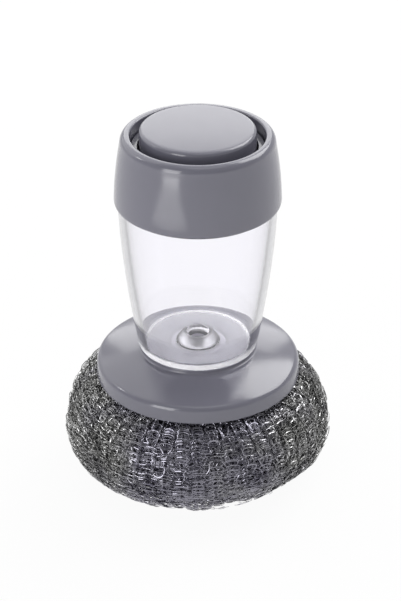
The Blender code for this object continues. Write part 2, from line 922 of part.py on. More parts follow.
def make_spring():
    """Coil spring between the cup's floor and the button, one unbroken wire."""
    low = cup_floor_z + clearance + spring_wire_radius
    high = button_z + button_height - button_top_thickness - clearance - spring_wire_radius
    steps = spring_turns * spring_points_per_turn
    curve = bpy.data.curves.new("return_spring", "CURVE")
    curve.dimensions = "3D"
    curve.bevel_depth = spring_wire_radius
    curve.bevel_resolution = 1
    curve.use_fill_caps = True
    wire = curve.splines.new("POLY")
    wire.points.add(steps)
    for index, point in enumerate(wire.points):
        angle = math.tau * index / spring_points_per_turn
        height = (high - low) * index / steps
        point.co = (spring_radius * math.cos(angle), spring_radius * math.sin(angle), height, 1)
    gap = (high - low) / spring_turns - 2 * spring_wire_radius
    print(f"return_spring: {steps + 1} points, least gap between turns {gap * 1000:.2f} mm")
    return add_piece("return_spring", curve, spring_steel, low, pump_body)


def shade(piece):
    """Settles a piece's modifiers into its mesh and shades it smooth between its sharp edges."""
    graph = bpy.context.evaluated_depsgraph_get()
    mesh = bpy.data.meshes.new_from_object(piece.evaluated_get(graph))
    piece.modifiers.clear()
    piece.data = mesh
    mesh.name = piece.name
    mesh.shade_smooth()
    mesh.set_sharp_from_angle(angle=sharp_angle)


clear_scene()
part_collection = new_collection("soap_dispensing_scourer")
cutter_collection = new_collection("cutters")
cutter_collection.hide_render = True

grey_plastic = new_material("grey_plastic", (0.21, 0.21, 0.25), 0.32)
clear_plastic = new_material("clear_plastic", (0.90, 0.91, 0.94), 0.04, alpha=0.3)
white_plastic = new_material("white_plastic", (0.80, 0.80, 0.79), 0.4)
silicone = new_material("silicone", (0.62, 0.62, 0.64), 0.5)
rubber = new_material("rubber", (0.05, 0.05, 0.055), 0.6)
steel_wool = new_material("steel_wool", (0.27, 0.27, 0.28), 0.35, metallic=1.0)
steel_wire = new_material("steel_wire", (0.45, 0.45, 0.46), 0.3, metallic=1.0)
spring_steel = new_material("spring_steel", (0.55, 0.55, 0.56), 0.25, metallic=1.0)

head_root = carrier("scourer_head", 0)
head_body = carrier("head_pull_axis", flange_z, head_root)
jar_rise = carrier("jar_rise_axis", jar_z, head_body)
jar_body = carrier("jar_turn_axis", jar_z, jar_rise)
lid_lift = carrier("lid_lift_axis", collar_z, jar_body)
pump_body = carrier("lid_rise_axis", collar_z, lid_lift)
collar_body = carrier("lid_turn_axis", collar_z, pump_body)
button_body = carrier("button_axis", button_z, pump_body)

make_scourer()
make_tie()
make_stem_seal()
make_retainer()
make_head()
make_neck_seal()
make_jar()
make_outlet_valve()
make_nozzle()
make_gasket()
make_housing()
make_end_plate()
make_air_valve()
make_guide_ring()
make_collar()
make_button()
make_piston()
make_piston_seal()
spring = make_spring()

bpy.context.view_layer.update()
for piece in part_collection.objects:
    if piece.type == "MESH":
        shade(piece)
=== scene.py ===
import math

import bmesh
import bpy
import numpy as np
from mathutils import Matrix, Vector


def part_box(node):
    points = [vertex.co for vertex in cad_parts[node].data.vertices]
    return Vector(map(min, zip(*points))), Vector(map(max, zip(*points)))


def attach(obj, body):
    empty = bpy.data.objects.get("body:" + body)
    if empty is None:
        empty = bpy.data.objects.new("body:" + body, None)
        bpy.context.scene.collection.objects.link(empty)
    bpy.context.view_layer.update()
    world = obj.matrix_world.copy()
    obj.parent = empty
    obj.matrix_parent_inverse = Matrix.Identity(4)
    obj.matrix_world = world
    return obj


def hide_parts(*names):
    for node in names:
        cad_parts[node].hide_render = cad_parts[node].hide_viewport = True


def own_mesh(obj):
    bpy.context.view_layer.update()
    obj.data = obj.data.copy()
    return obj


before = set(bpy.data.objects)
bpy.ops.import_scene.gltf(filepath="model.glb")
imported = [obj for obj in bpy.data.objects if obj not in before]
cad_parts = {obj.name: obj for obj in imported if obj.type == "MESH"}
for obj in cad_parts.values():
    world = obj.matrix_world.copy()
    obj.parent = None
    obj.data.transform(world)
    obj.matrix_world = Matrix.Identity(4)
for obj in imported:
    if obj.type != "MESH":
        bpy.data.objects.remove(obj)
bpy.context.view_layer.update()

mm = 0.001
largeSteps = 144
smallSteps = 72
hugeSteps = 192
creaseAngle = 34  # degrees, edges flatter than this are smoothed
weld = 0.002 * mm
gap = 0.3 * mm  # between pieces that touch
crossTurns = (0, math.pi / 2)
upright = (math.pi / 2, 0, 0)  # stands a flat shape on its edge

# Fillets of moulded edges
crisp, fine, small, plain, soft = 0.1 * mm, 0.2 * mm, 0.3 * mm, 0.4 * mm, 0.5 * mm


# A dictionary of sizes that are also read by name
class Shape(dict):
    __getattr__ = dict.__getitem__


# Plain numbers first, then lengths in millimetres
def millimetres(numbers=(), **lengths):
    return Shape(numbers, **{name: length * mm for name, length in lengths.items()})


# Lowest and highest level of a CAD node
def levels(node):
    low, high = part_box(node)
    return low.z, high.z


# The piece named last becomes the active one
def selectOnly(*pieces):
    bpy.ops.object.select_all(action="DESELECT")
    for piece in pieces:
        piece.select_set(True)
        bpy.context.view_layer.objects.active = piece


def addObject(name, data):
    made = bpy.data.objects.new(name, data)
    bpy.context.scene.collection.objects.link(made)
    return made


# Outline through (radius, height) corners in metres, some of them with a fillet
def softCorners(corners, closed=True, arcSteps=6):
    points = []
    for index, (radius, height, *fillet) in enumerate(corners):
        corner = Vector((radius, height))
        if not fillet or (not closed and index in (0, len(corners) - 1)):
            points.append(corner)
            continue
        before = Vector(corners[index - 1][:2]) - corner
        after = Vector(corners[(index + 1) % len(corners)][:2]) - corner
        half = before.angle(after) / 2
        reach = min(fillet[0] / math.tan(half), 0.48 * min(before.length, after.length))
        arc = reach * math.tan(half)
        middle = (before.normalized() + after.normalized()).normalized()
        centre = corner + middle * arc / math.sin(half)
        start = corner + before.normalized() * reach - centre
        end = corner + after.normalized() * reach - centre
        for step in range(arcSteps + 1):
            points.append(centre + start.lerp(end, step / arcSteps).normalized() * arc)
    return points


# Corners along part of an ellipse
def ellipseArc(centre, reach, start, end, steps):
    corners = []
    for turn in [start + (end - start) * step / steps for step in range(steps + 1)]:
        corners.append((centre[0] + reach[0] * math.cos(turn), centre[1] + reach[1] * math.sin(turn)))
    return corners


def startMesh(name, place, size=2 * mm, rotation=(0, 0, 0)):
    bpy.ops.mesh.primitive_plane_add(size=size, location=place, rotation=rotation)
    piece = bpy.context.active_object
    piece.name = piece.data.name = name
    bpy.ops.object.mode_set(mode="EDIT")
    bpy.ops.mesh.select_mode(type="VERT")
    bpy.ops.mesh.select_all(action="SELECT")
    return piece


# Welds, points the faces outward and settles the piece's place into its mesh
def closeMesh(piece, smoothAngle=creaseAngle):
    bpy.ops.mesh.select_all(action="SELECT")
    bpy.ops.mesh.remove_doubles(threshold=weld)
    bpy.ops.mesh.normals_make_consistent(inside=False)
    bpy.ops.object.mode_set(mode="OBJECT")
    bpy.ops.object.transform_apply()
    bpy.ops.object.shade_smooth_by_angle(angle=math.radians(smoothAngle))
    return piece


# One point is drawn along the outline, which may be closed to a ring, or end on the axis
def drawOutline(name, outline, closed):
    piece = startMesh(name, (outline[0].x, 0, outline[0].y))
    bpy.ops.mesh.merge(type="CENTER")
    for here, there in zip(outline, outline[1:]):
        move = (there.x - here.x, 0, there.y - here.y)
        bpy.ops.mesh.extrude_vertices_move(TRANSFORM_OT_translate={"value": move})
    if closed:
        edit = bmesh.from_edit_mesh(piece.data)
        edit.verts.ensure_lookup_table()
        bpy.ops.mesh.select_all(action="DESELECT")
        edit.verts[0].select = True
        edit.verts[len(outline) - 1].select = True
        bmesh.update_edit_mesh(piece.data)
        bpy.ops.mesh.edge_face_add()
    bpy.ops.mesh.select_all(action="SELECT")
    return piece


# The outline is spun about the Z axis
def turnOnLathe(name, corners, closed=True, steps=smallSteps, arcSteps=5):
    piece = drawOutline(name, softCorners(corners, closed, arcSteps), closed)
    bpy.ops.mesh.spin(steps=steps, angle=math.tau, center=(0, 0, 0), axis=(0, 0, 1))
    return closeMesh(piece)


# The section in hand is swept up a helix about the Z axis and closed at both ends
def sweepHelix(piece, pitch, turns, steps, smoothAngle):
    bpy.ops.object.mode_set(mode="OBJECT")
    bpy.ops.object.transform_apply()
    sweep = piece.modifiers.new("sweep", "SCREW")
    sweep.angle = math.tau * turns
    sweep.screw_offset = pitch * turns
    sweep.steps = sweep.render_steps = round(steps * turns)
    bpy.ops.object.modifier_apply(modifier="sweep")
    bpy.ops.object.mode_set(mode="EDIT")
    bpy.ops.mesh.select_all(action="SELECT")
    bpy.ops.mesh.fill_holes(sides=0)
    return closeMesh(piece, smoothAngle)


threadShape = millimetres({"turns": 1.5, "crest": 0.45}, pitch=3, depth=0.6, aboveShoulder=1.7, root=0.2)


# Screw thread with a small trapezium section
def cutThread(shape, wall, crest, low):
    piece = startMesh("thread", ((wall + crest) / 2, 0, low), size=1, rotation=upright)
    bpy.ops.transform.resize(value=(abs(crest - wall) + shape.root, 1, shape.pitch / 2))
    edit = bmesh.from_edit_mesh(piece.data)
    bpy.ops.mesh.select_all(action="DESELECT")
    for vert in edit.verts:
        vert.select = (vert.co.x > 0) == (crest > wall)
    bmesh.update_edit_mesh(piece.data)
    bpy.ops.transform.resize(value=(1, 1, shape.crest))
    bpy.ops.mesh.select_all(action="SELECT")
    bpy.ops.mesh.delete(type="ONLY_FACE")
    return sweepHelix(piece, shape.pitch, shape.turns, 64, 25)


def joinPieces(main, *others):
    selectOnly(*others, main)
    if others:
        bpy.ops.object.join()
    return main


# Cuts a set of tools out of a piece, or joins them to it
def carve(piece, tools, operation="DIFFERENCE"):
    tool = joinPieces(*tools)
    bpy.ops.object.transform_apply()
    selectOnly(piece)
    cut = piece.modifiers.new("cut", "BOOLEAN")
    cut.operation, cut.solver, cut.object = operation, "EXACT", tool
    bpy.ops.object.modifier_apply(modifier="cut")
    bpy.data.objects.remove(tool)
    bpy.ops.object.shade_smooth_by_angle(angle=math.radians(creaseAngle))
    return piece


# Posts on a circle round the axis
def ringOfPosts(count, place, radius, tip, low, high, sides=32):
    posts = []
    for turn in [math.tau * index / count for index in range(count)]:
        bpy.ops.mesh.primitive_cone_add(
            vertices=sides, radius1=radius, radius2=tip, depth=high - low,
            location=(place * math.cos(turn), place * math.sin(turn), (low + high) / 2),
        )
        posts.append(bpy.context.active_object)
    return posts


# Slots across the axis, cut one by one, since boxes that overlap in one tool swallow the piece
def carveAcross(piece, length, width, low, high):
    for turn in crossTurns:
        bpy.ops.mesh.primitive_cube_add(size=1, location=(0, 0, (low + high) / 2), rotation=(0, 0, turn))
        bpy.context.active_object.scale = (length, width, high - low)
        carve(piece, [bpy.context.active_object])
    return piece


# Helpers for shader nodes
def addNode(tree, kind, sockets=None, **settings):
    node = tree.nodes.new("ShaderNode" + kind)
    for key, value in settings.items():
        setattr(node, key, value)
    for socket, value in (sockets or {}).items():
        if isinstance(value, bpy.types.NodeSocket):
            tree.links.new(value, node.inputs[socket])
        else:
            node.inputs[socket].default_value = value
    return node


def calculate(tree, operation, *values):
    return addNode(tree, "Math", dict(enumerate(values)), operation=operation).outputs[0]


def remap(tree, value, fromLow, fromHigh, toLow=0, toHigh=1):
    sockets = dict(enumerate((value, fromLow, fromHigh, toLow, toHigh)))
    return addNode(tree, "MapRange", sockets).outputs[0]


def mixColours(tree, share, first, second, blend="MIX"):
    sockets = {0: share, 6: first, 7: second}
    return addNode(tree, "Mix", sockets, data_type="RGBA", blend_type=blend).outputs[2]


def mixValues(tree, share, first, second):
    return addNode(tree, "Mix", {0: share, 2: first, 3: second}, data_type="FLOAT").outputs[0]


def noise(tree, place, scale, detail):
    return addNode(tree, "TexNoise", {"Vector": place, "Scale": scale, "Detail": detail}).outputs[0]


def bump(tree, strength, depth, height):
    return addNode(tree, "Bump", {"Strength": strength, "Distance": depth, "Height": height}).outputs[0]


# What shared groups put out, and the shader's inputs that take it
skinLinks = {"Colour": "Base Color", "Roughness": "Roughness", "Normal": "Normal"}


# A node group with named colours and numbers to set, and the node that its inputs come out of
def newGroup(name, colours, numbers):
    group = bpy.data.node_groups.new(name, "ShaderNodeTree")
    for label in colours:
        group.interface.new_socket(label, in_out="INPUT", socket_type="NodeSocketColor")
    for label in numbers:
        group.interface.new_socket(label, in_out="INPUT", socket_type="NodeSocketFloat")
    for label, kind in zip(skinLinks, ("Color", "Float", "Vector")):
        group.interface.new_socket(label, in_out="OUTPUT", socket_type="NodeSocket" + kind)
    return group, group.nodes.new("NodeGroupInput").outputs


# Hands a group's colour, roughness and normal on
def closeGroup(group, *results):
    made = group.nodes.new("NodeGroupOutput").inputs
    for label, result in zip(skinLinks, results):
        group.links.new(result, made[label])
    return group


skinLook = Shape(driftScale=55, glossScale=260, grainScale=900, grainDepth=0.02 * mm)
noiseRange = (0.3, 0.7)  # most of a noise lies between these


# Shared skin of moulded pieces: slow tone drift, uneven gloss and a faint mould grain
def buildSkinGroup(look):
    group, given = newGroup("mouldedSkin", ("Light tone", "Dark tone"), ("Gloss low", "Gloss high", "Grain"))
    place = addNode(group, "TexCoord").outputs["Object"]
    drift = noise(group, place, look.driftScale, 3)
    tone = mixColours(group, drift, given["Light tone"], given["Dark tone"])
    rubs = noise(group, place, look.glossScale, 4)
    gloss = remap(group, rubs, *noiseRange, given["Gloss low"], given["Gloss high"])
    bumps = noise(group, place, look.grainScale, 1)
    return closeGroup(group, tone, gloss, bump(group, given["Grain"], look.grainDepth, bumps))


# Painted light low down, painted glints and the hammered bump of the wool's steel
steelLook = Shape(
    sharpFrom=0.56, sharpTo=0.86, rubbedOver=8 * mm, rubbedMost=0.7, rubbedTone=(0.60, 0.59, 0.63, 1),
    dentScale=1400, dentDepth=0.08 * mm, facetFrom=0.55, facetTo=0.66, fleckTone=(0.97, 0.97, 0.98, 1),
    streakScale=1900,
)


# Shared face of drawn steel: cool and warm in patches, warmer at the left and right, painted light low down,
# painted glints
def buildSteelGroup(look):
    group, given = newGroup("drawnSteel", ("Cool tone", "Warm tone"), (
        "Patches", "Gloss low", "Gloss high", "Warm sides", "Painted light below", "Glitter"))
    place = addNode(group, "TexCoord").outputs["Object"]
    apart = addNode(group, "SeparateXYZ", {0: place}).outputs
    outward = calculate(group, "MULTIPLY", apart["X"], apart["X"])
    drift = noise(group, place, given["Patches"], 3)
    side = calculate(group, "MULTIPLY_ADD", outward, given["Warm sides"], drift)
    sharp = remap(group, side, look.sharpFrom, look.sharpTo)
    drawn = mixColours(group, sharp, given["Cool tone"], given["Warm tone"])
    # Painted light: the lowest wire is mixed towards a pale tone, standing in for light from the white floor
    drop = calculate(group, "SUBTRACT", given["Painted light below"], apart["Z"])
    paintedLightBelow = remap(group, drop, 0, look.rubbedOver, 0, look.rubbedMost)
    litBelowTone = mixColours(group, paintedLightBelow, drawn, look.rubbedTone)
    # Painted glints: near-white specks of colour over the hammered bump, on the sides and low down
    dents = noise(group, place, look.dentScale, 1)
    glintChance = remap(group, dents, look.facetFrom, look.facetTo, 0, given["Glitter"])
    paintedGlints = calculate(group, "MULTIPLY", glintChance, calculate(group, "MAXIMUM", sharp, paintedLightBelow))
    tone = mixColours(group, paintedGlints, litBelowTone, look.fleckTone)
    streak = noise(group, place, look.streakScale, 2)
    gloss = remap(group, streak, *noiseRange, given["Gloss low"], given["Gloss high"])
    return closeGroup(group, tone, gloss, bump(group, given["Glitter"], look.dentDepth, dents))


mouldedSkin = buildSkinGroup(skinLook)
drawnSteel = buildSteelGroup(steelLook)


# A new finish on a shared group with its own values, and one more input of the shader set
def newFinish(name, group, wanted, level, values):
    finish = bpy.data.materials.new(name)
    finish.use_nodes = True
    tree = finish.node_tree
    skin = addNode(tree, "Group", values, node_tree=group)
    shader = tree.nodes["Principled BSDF"].inputs
    shader[wanted].default_value = level
    for made, taken in skinLinks.items():
        tree.links.new(skin.outputs[made], shader[taken])
    return finish


def mouldedFinish(name, light, dark, gloss, grain, index=1.5):
    return newFinish(name, mouldedSkin, "IOR", index, {
        "Light tone": (*light, 1), "Dark tone": (*dark, 1),
        "Gloss low": gloss[0], "Gloss high": gloss[1], "Grain": grain,
    })


def steelFinish(name, cool, warm, gloss, patches, sides=0, paintedLightBelow=-1, glitter=0):
    return newFinish(name, drawnSteel, "Metallic", 1, {
        "Cool tone": (*cool, 1), "Warm tone": (*warm, 1), "Patches": patches, "Warm sides": sides,
        "Gloss low": gloss[0], "Gloss high": gloss[1], "Painted light below": paintedLightBelow, "Glitter": glitter,
    })


# Clear plastic: painted shade where a wall is seen edge on and in mirrors, painted shade on the raised outlet
# and its hole, matt underneath, and it lets most light through
clearLook = Shape(
    light=(0.985, 0.980, 1.0), dark=(0.970, 0.965, 1.0), gloss=(0.01, 0.02), index=1.49,
    edgeTones=((0.24, 1.0), (0.40, 0.95), (0.52, 0.85), (0.59, 0.68),
               (0.64, 0.28), (0.70, 0.42), (0.80, 0.50), (1.0, 0.70)),
    sideFrom=0.8 * mm, sideTo=3 * mm, mirrored=0.25, underside=0.55, outlet=0.60, outletTone=0.80,
    outletReach=7.6 * mm, outletAbove=1.3 * mm, throat=0.16, throatTone=0.06, throatReach=4.1 * mm,
    throatBelow=2.7 * mm, shadow=0.12,
)


def clearFinish(name, look, frostBelow):
    finish = mouldedFinish(name, look.light, look.dark, look.gloss, 0.0, look.index)
    tree = finish.node_tree
    shader = tree.nodes["Principled BSDF"].inputs
    skin = shader["Base Color"].links[0].from_node.outputs
    facing = addNode(tree, "LayerWeight", {"Blend": 0.5}).outputs["Facing"]
    ramp = addNode(tree, "ValToRGB", {"Fac": facing})
    tones = ramp.color_ramp
    tones.interpolation = "CARDINAL"
    while len(tones.elements) < len(look.edgeTones):
        tones.elements.new(0.5)
    for element, (place, tone) in zip(tones.elements, look.edgeTones):
        element.position, element.color = place, (tone, tone, tone * 1.01, 1)
    place = addNode(tree, "TexCoord").outputs["Object"]
    height = addNode(tree, "SeparateXYZ", {0: place}).outputs["Z"]
    flat = addNode(tree, "VectorMath", {0: place, 1: (1, 1, 0)}, operation="MULTIPLY").outputs[0]
    out = addNode(tree, "VectorMath", {0: flat}, operation="LENGTH").outputs["Value"]
    path = addNode(tree, "LightPath").outputs
    inside = addNode(tree, "NewGeometry").outputs["Backfacing"]

    # The side wall: painted shade to the eye where it is seen edge on, and painted shade in mirrors that face
    # its outside
    side = remap(tree, height, frostBelow + look.sideFrom, frostBelow + look.sideTo)
    first = calculate(tree, "MULTIPLY", side, path["Is Camera Ray"])
    paintedEdgeShade = mixColours(tree, first, skin["Colour"], ramp.outputs[0], "MULTIPLY")
    # Painted shade: the jar's outside is darkened in mirrors, standing in for its dark mirror image
    mirrored = calculate(tree, "MULTIPLY", side, path["Is Reflection Ray"])
    outside = calculate(tree, "GREATER_THAN", mirrored, inside)
    seen = remap(tree, outside, 0, 1, 1, look.mirrored)

    # The raised outlet in the floor, its throat and the hole, greyed and the hole darkened nearly to black as
    # painted shade
    near = calculate(tree, "LESS_THAN", out, look.outletReach)
    above = calculate(tree, "GREATER_THAN", height, frostBelow + look.outletAbove)
    boss = calculate(tree, "MULTIPLY", near, above)
    inlet = calculate(tree, "MULTIPLY", calculate(tree, "LESS_THAN", out, look.throatReach), boss)
    deep = calculate(tree, "LESS_THAN", height, frostBelow + look.throatBelow)
    hole = calculate(tree, "MULTIPLY", inlet, deep)
    raised = remap(tree, boss, 0, 1, seen, look.outletTone)
    shaded = remap(tree, hole, 0, 1, raised, look.throatTone)
    matt = mixValues(tree, boss, skin["Roughness"], look.outlet)
    under = calculate(tree, "LESS_THAN", height, frostBelow)
    rough = mixValues(tree, under, mixValues(tree, inlet, matt, look.throat), look.underside)

    tree.links.new(mixColours(tree, 1.0, paintedEdgeShade, shaded, "MULTIPLY"), shader["Base Color"])
    tree.links.new(rough, shader["Roughness"])
    tree.links.new(remap(tree, path["Is Shadow Ray"], 0, 1, 1, look.shadow), shader["Alpha"])
    shader["Transmission Weight"].default_value = 1
    return finish


greyTones = (0.156, 0.154, 0.192), (0.148, 0.146, 0.182)
greyPlastic = mouldedFinish("greyPlastic", *greyTones, (0.14, 0.18), 0.02, 1.65)
buttonPlastic = mouldedFinish("buttonPlastic", *greyTones, (0.18, 0.22), 0.03, 1.65)
whitePlastic = mouldedFinish("whitePlastic", (0.78, 0.78, 0.76), (0.72, 0.72, 0.70), (0.36, 0.44), 0.2)
valveSilicone = mouldedFinish("valveSilicone", (0.16, 0.16, 0.18), (0.12, 0.12, 0.14), (0.45, 0.6), 0.3)
sealSilicone = mouldedFinish("sealSilicone", (0.44, 0.43, 0.49), (0.38, 0.37, 0.43), (0.45, 0.6), 0.3)
blackRubber = mouldedFinish("blackRubber", (0.035, 0.035, 0.038), (0.022, 0.022, 0.024), (0.5, 0.66), 0.4)
springSteel = steelFinish("springSteel", (0.52, 0.52, 0.54), (0.60, 0.59, 0.57), (0.18, 0.3), 240)
tieSteel = steelFinish("tieSteel", (0.40, 0.40, 0.43), (0.48, 0.47, 0.44), (0.2, 0.34), 240)
# The outer wool gets painted light on its lowest 9 mm and painted glints
woolSteel = steelFinish("woolSteel", (0.282, 0.276, 0.322), (0.218, 0.218, 0.211), (0.08, 0.24),
                        patches=60, sides=260, paintedLightBelow=9 * mm, glitter=0.9)
# Painted shade: the under layers are a darker, purpler steel; they too get painted light low down and a few
# painted glints
deepShadedSteel = steelFinish("deepShadedSteel", (0.160, 0.150, 0.202), (0.165, 0.165, 0.160), (0.24, 0.40),
                        patches=60, sides=260, paintedLightBelow=7 * mm, glitter=0.3)
# Painted shade: near-black finish of the plug inside the knit
woolShade = mouldedFinish("woolShade", (0.050, 0.049, 0.058), (0.034, 0.034, 0.039), (0.6, 0.8), 0.5)
print("finishes ready")


# Cap collar: swelling wall that rolls over a round rim into the well, and laps over the jar
collarShape = millimetres(
    {"swellPower": 1.7}, footRadius=26.8, crestRadius=24.6, sideHeight=20.5, height=22.95, bore=24.4,
    well=21.4, ledge=17.75, rollWidth=2.0, rollHeight=2.6, lipRound=1.1, footLead=1.1, footTaper=0.4,
    lapRadius=25.9, lap=1.2, lapRound=0.15,
)


def makeCollar(shape, thread):
    base = levels("cap_collar")[0]

    def wall(rise):
        draw = (rise / shape.sideHeight) ** shape.swellPower
        return shape.footRadius - (shape.footRadius - shape.crestRadius) * draw

    rollLow = shape.height - shape.rollHeight
    crest = (wall(rollLow) - shape.rollWidth, base + rollLow)
    foot = (shape.footRadius - shape.footTaper, base + shape.footLead)
    corners = ellipseArc(crest, (shape.rollWidth, shape.rollHeight), math.pi / 2, 0, 12)
    corners += [(wall(rise), base + rise) for rise in np.linspace(rollLow, shape.footLead, 14)[1:-1]]
    corners += ellipseArc(foot, (shape.footTaper, shape.footLead), 0, -math.pi / 2, 7)
    lap, ledge = base + shape.lap, base + shape.ledge
    corners += [(shape.lapRadius, base, shape.lapRound), (shape.lapRadius, lap), (shape.bore, lap),
                (shape.bore, ledge), (shape.well, ledge), (shape.well, base + shape.height, shape.lipRound)]
    collar = turnOnLathe("capCollar", corners, steps=largeSteps, arcSteps=8)
    start = lap - gap + thread.aboveShoulder + thread.pitch / 2
    return joinPieces(collar, cutThread(thread, shape.bore, shape.bore - thread.depth, start))


# Guide ring: floor of the well round the button
guideShape = millimetres(outer=24.1, well=21.1, bore=19.0, rim=1.9, height=3.6)


def makeGuide(shape):
    base = levels("guide_ring")[0]
    rim, top = base + shape.rim, base + shape.height
    corners = [(shape.well, top, small), (shape.well, rim), (shape.outer, rim), (shape.outer, base),
               (shape.bore, base), (shape.bore, top, small)]
    return turnOnLathe("guideRing", corners, steps=largeSteps)


# Press button: crowned top, soft edge, drafted skirt, boss for the rod
buttonShape = millimetres(
    radius=18.6, draft=0.2, crown=0.3, height=10, edge=1.6, wall=1.6, top=2, boss=4.5, bore=2.9,
    bossLength=6,
)


def makeButton(shape):
    base = levels("press_button")[0]
    top = base + shape.height
    flat = shape.radius - shape.draft
    under = top - shape.top
    skirt = shape.radius - shape.wall
    end = under - shape.bossLength
    shares = np.linspace(0, 1, 9)[:-1]
    corners = [(flat * share, top + shape.crown * (1 - share * share)) for share in shares]
    corners += [(flat, top, shape.edge), (shape.radius, base, plain), (skirt, base, small),
                (skirt, under, plain), (shape.boss, under, plain), (shape.boss, end, fine),
                (shape.bore, end, fine), (shape.bore, under), (0, under)]
    return turnOnLathe("pressButton", corners, closed=False, steps=largeSteps, arcSteps=8)


capCollar = makeCollar(collarShape, threadShape)
guideRing = makeGuide(guideShape)
pressButton = makeButton(buttonShape)
print("cap turned")


# Reservoir jar: clear wall flaring to the cap, raised outlet in the floor, spigot under it
jarShape = millimetres(
    {"flarePower": 1.65}, foot=19.7, top=25.6, side=53.25, wall=2.4, floor=1.2, floorRound=1.6, neck=23.4,
    neckBore=20.9, neckHeight=10.45, shoulderRound=1.2, bossRadius=4.85, bossRise=3.0, mouth=3.8,
    outlet=2.7, spigot=7, spigotBore=5, spigotLength=8, seat=0.8, footRound=0.6, spigotThread=0.25,
    threadDrop=6.6, frost=0.05,
)


def makeJar(shape, thread):
    low = levels("reservoir_jar")[0] + shape.spigotLength

    def flare(rise):
        return shape.foot + (shape.top - shape.foot) * (1 - (1 - rise / shape.side) ** shape.flarePower)

    rises = np.linspace(0, shape.side, 25)[1:-1]
    shoulder = low + shape.side
    rim = shoulder + shape.neckHeight
    floor = low + shape.floor
    seat = low - shape.seat
    under = low - shape.spigotLength
    corners = [(shape.neck, rim, plain), (shape.neck, shoulder), (shape.top, shoulder, soft)]
    corners += [(flare(rise), low + rise) for rise in rises[::-1]]
    corners += [(shape.foot, low, shape.footRound), (shape.spigot, low), (shape.spigot, under, small),
                (shape.spigotBore, under, small), (shape.spigotBore, seat), (shape.outlet, seat),
                (shape.outlet, floor, plain), (shape.mouth, floor + shape.bossRise, soft),
                (shape.bossRadius, floor + shape.bossRise, soft), (shape.spigot, floor, shape.floorRound),
                (flare(shape.floor) - shape.wall, floor, shape.floorRound)]
    curved = 2 * shape.floorRound + shape.floor
    corners += [(flare(rise) - shape.wall, low + rise) for rise in rises if rise > curved]
    corners += [(shape.top - shape.wall, shoulder - shape.wall, shape.shoulderRound),
                (shape.neckBore, shoulder - shape.wall / 2, shape.shoulderRound),
                (shape.neckBore, rim, plain)]
    jar = turnOnLathe("soapJar", corners, steps=hugeSteps, arcSteps=8)
    start = shoulder + thread.aboveShoulder
    neck = cutThread(thread, shape.neck, shape.neck + thread.depth, start)
    crest = shape.spigot + shape.spigotThread
    foot = cutThread(thread, shape.spigot, crest, low - shape.threadDrop)
    return joinPieces(jar, neck, foot), low


soapJar, jarFloorLevel = makeJar(jarShape, threadShape)
clearPlastic = clearFinish("clearPlastic", clearLook, jarFloorLevel + jarShape.frost)
print("jar turned")


# Flanged head: domed shell with a short neck, a stepped socket and ribs inside
headShape = millimetres(
    {"ribs": 8}, radius=33.9, rimRadius=33.6, rim=5.5, shoulder=3.6, shoulderStart=3, rise=3.95, bulge=0.26,
    neck=19.1, neckHeight=1.45, neckRound=0.7, wall=2.2, lipRound=0.35, roofRound=0.6, sleeve=9.5,
    stemSleeve=7.5, stemBore=5.3, socket=7.3, seat=9.8, seatDepth=2.5, plate=4.6, step=9.3, sleeveDrop=11.5,
    ribThickness=1.2, ribLow=40.3,
)


def makeHead(shape):
    base, top = levels("base_flange")
    lip = top - shape.rim - shape.rise - shape.neckHeight
    inner = shape.rimRadius - shape.wall
    plate, drop = top - shape.plate, top - shape.sleeveDrop
    step, seat = top - shape.step, top - shape.seatDepth

    def dome(radius):
        share = (radius - shape.neck) / (shape.rimRadius - shape.neck)
        return lip + shape.rim + shape.rise * (1 - share) + 4 * shape.bulge * share * (1 - share)

    corners = [(shape.neck, top, soft), (shape.neck, dome(shape.neck), shape.neckRound)]
    bend = shape.rimRadius - shape.shoulderStart
    corners += [(r, dome(r)) for r in np.linspace(shape.neck, bend, 10)[1:]]
    corners += [(shape.rimRadius, lip + shape.rim, shape.shoulder), (shape.radius, lip, shape.lipRound),
                (inner + small, lip, small), (inner, dome(inner) - shape.wall, shape.roofRound)]
    corners += [(r, dome(r) - shape.wall) for r in np.linspace(inner, shape.neck, 8)[1:-1]]
    corners += [(shape.neck, plate), (shape.sleeve, plate, soft), (shape.sleeve, drop, soft),
                (shape.stemSleeve, drop), (shape.stemSleeve, base, fine), (shape.stemBore, base, fine),
                (shape.stemBore, step), (shape.socket, step), (shape.socket, seat), (shape.seat, seat),
                (shape.seat, top, fine)]
    head = turnOnLathe("flangedHead", corners, steps=hugeSteps, arcSteps=10)
    reach = inner + shape.wall / 4
    edge = [(r, dome(r) - shape.wall / 2) for r in np.linspace(reach, shape.neck, 6)]
    start = (shape.sleeve + shape.socket) / 2
    outline = [(start, shape.ribLow), (reach, shape.ribLow), *edge, (start, plate + shape.wall / 2)]
    ribs = []
    for index in range(shape.ribs):
        rib = drawOutline("rib", [Vector(corner) for corner in outline], True)
        bpy.ops.mesh.edge_face_add()
        bpy.ops.transform.translate(value=(0, -shape.ribThickness / 2, 0))
        bpy.ops.mesh.extrude_region_move(TRANSFORM_OT_translate={"value": (0, shape.ribThickness, 0)})
        closeMesh(rib)
        rib.rotation_euler.z = math.tau * index / shape.ribs
        ribs.append(rib)
    return carve(head, ribs, "UNION")


flangedHead = makeHead(headShape)
print("head turned")


# Wool retainer: scalloped disc with grip teeth and a hollow stem
retainerShape = millimetres(
    {"scallops": 8, "teeth": 6}, radius=14, thickness=2.4, edge=0.6, scallop=2.2, scallopDepth=1.5, stem=5,
    stemRound=1, bore=1.9, grooveDrop=1.8, grooveLength=2.2, grooveDepth=1.1, windowRise=6, windowHeight=6,
    windowWidth=2.2, toothPlace=10.3, toothRadius=0.9, toothTip=0.3, toothHeight=2,
)


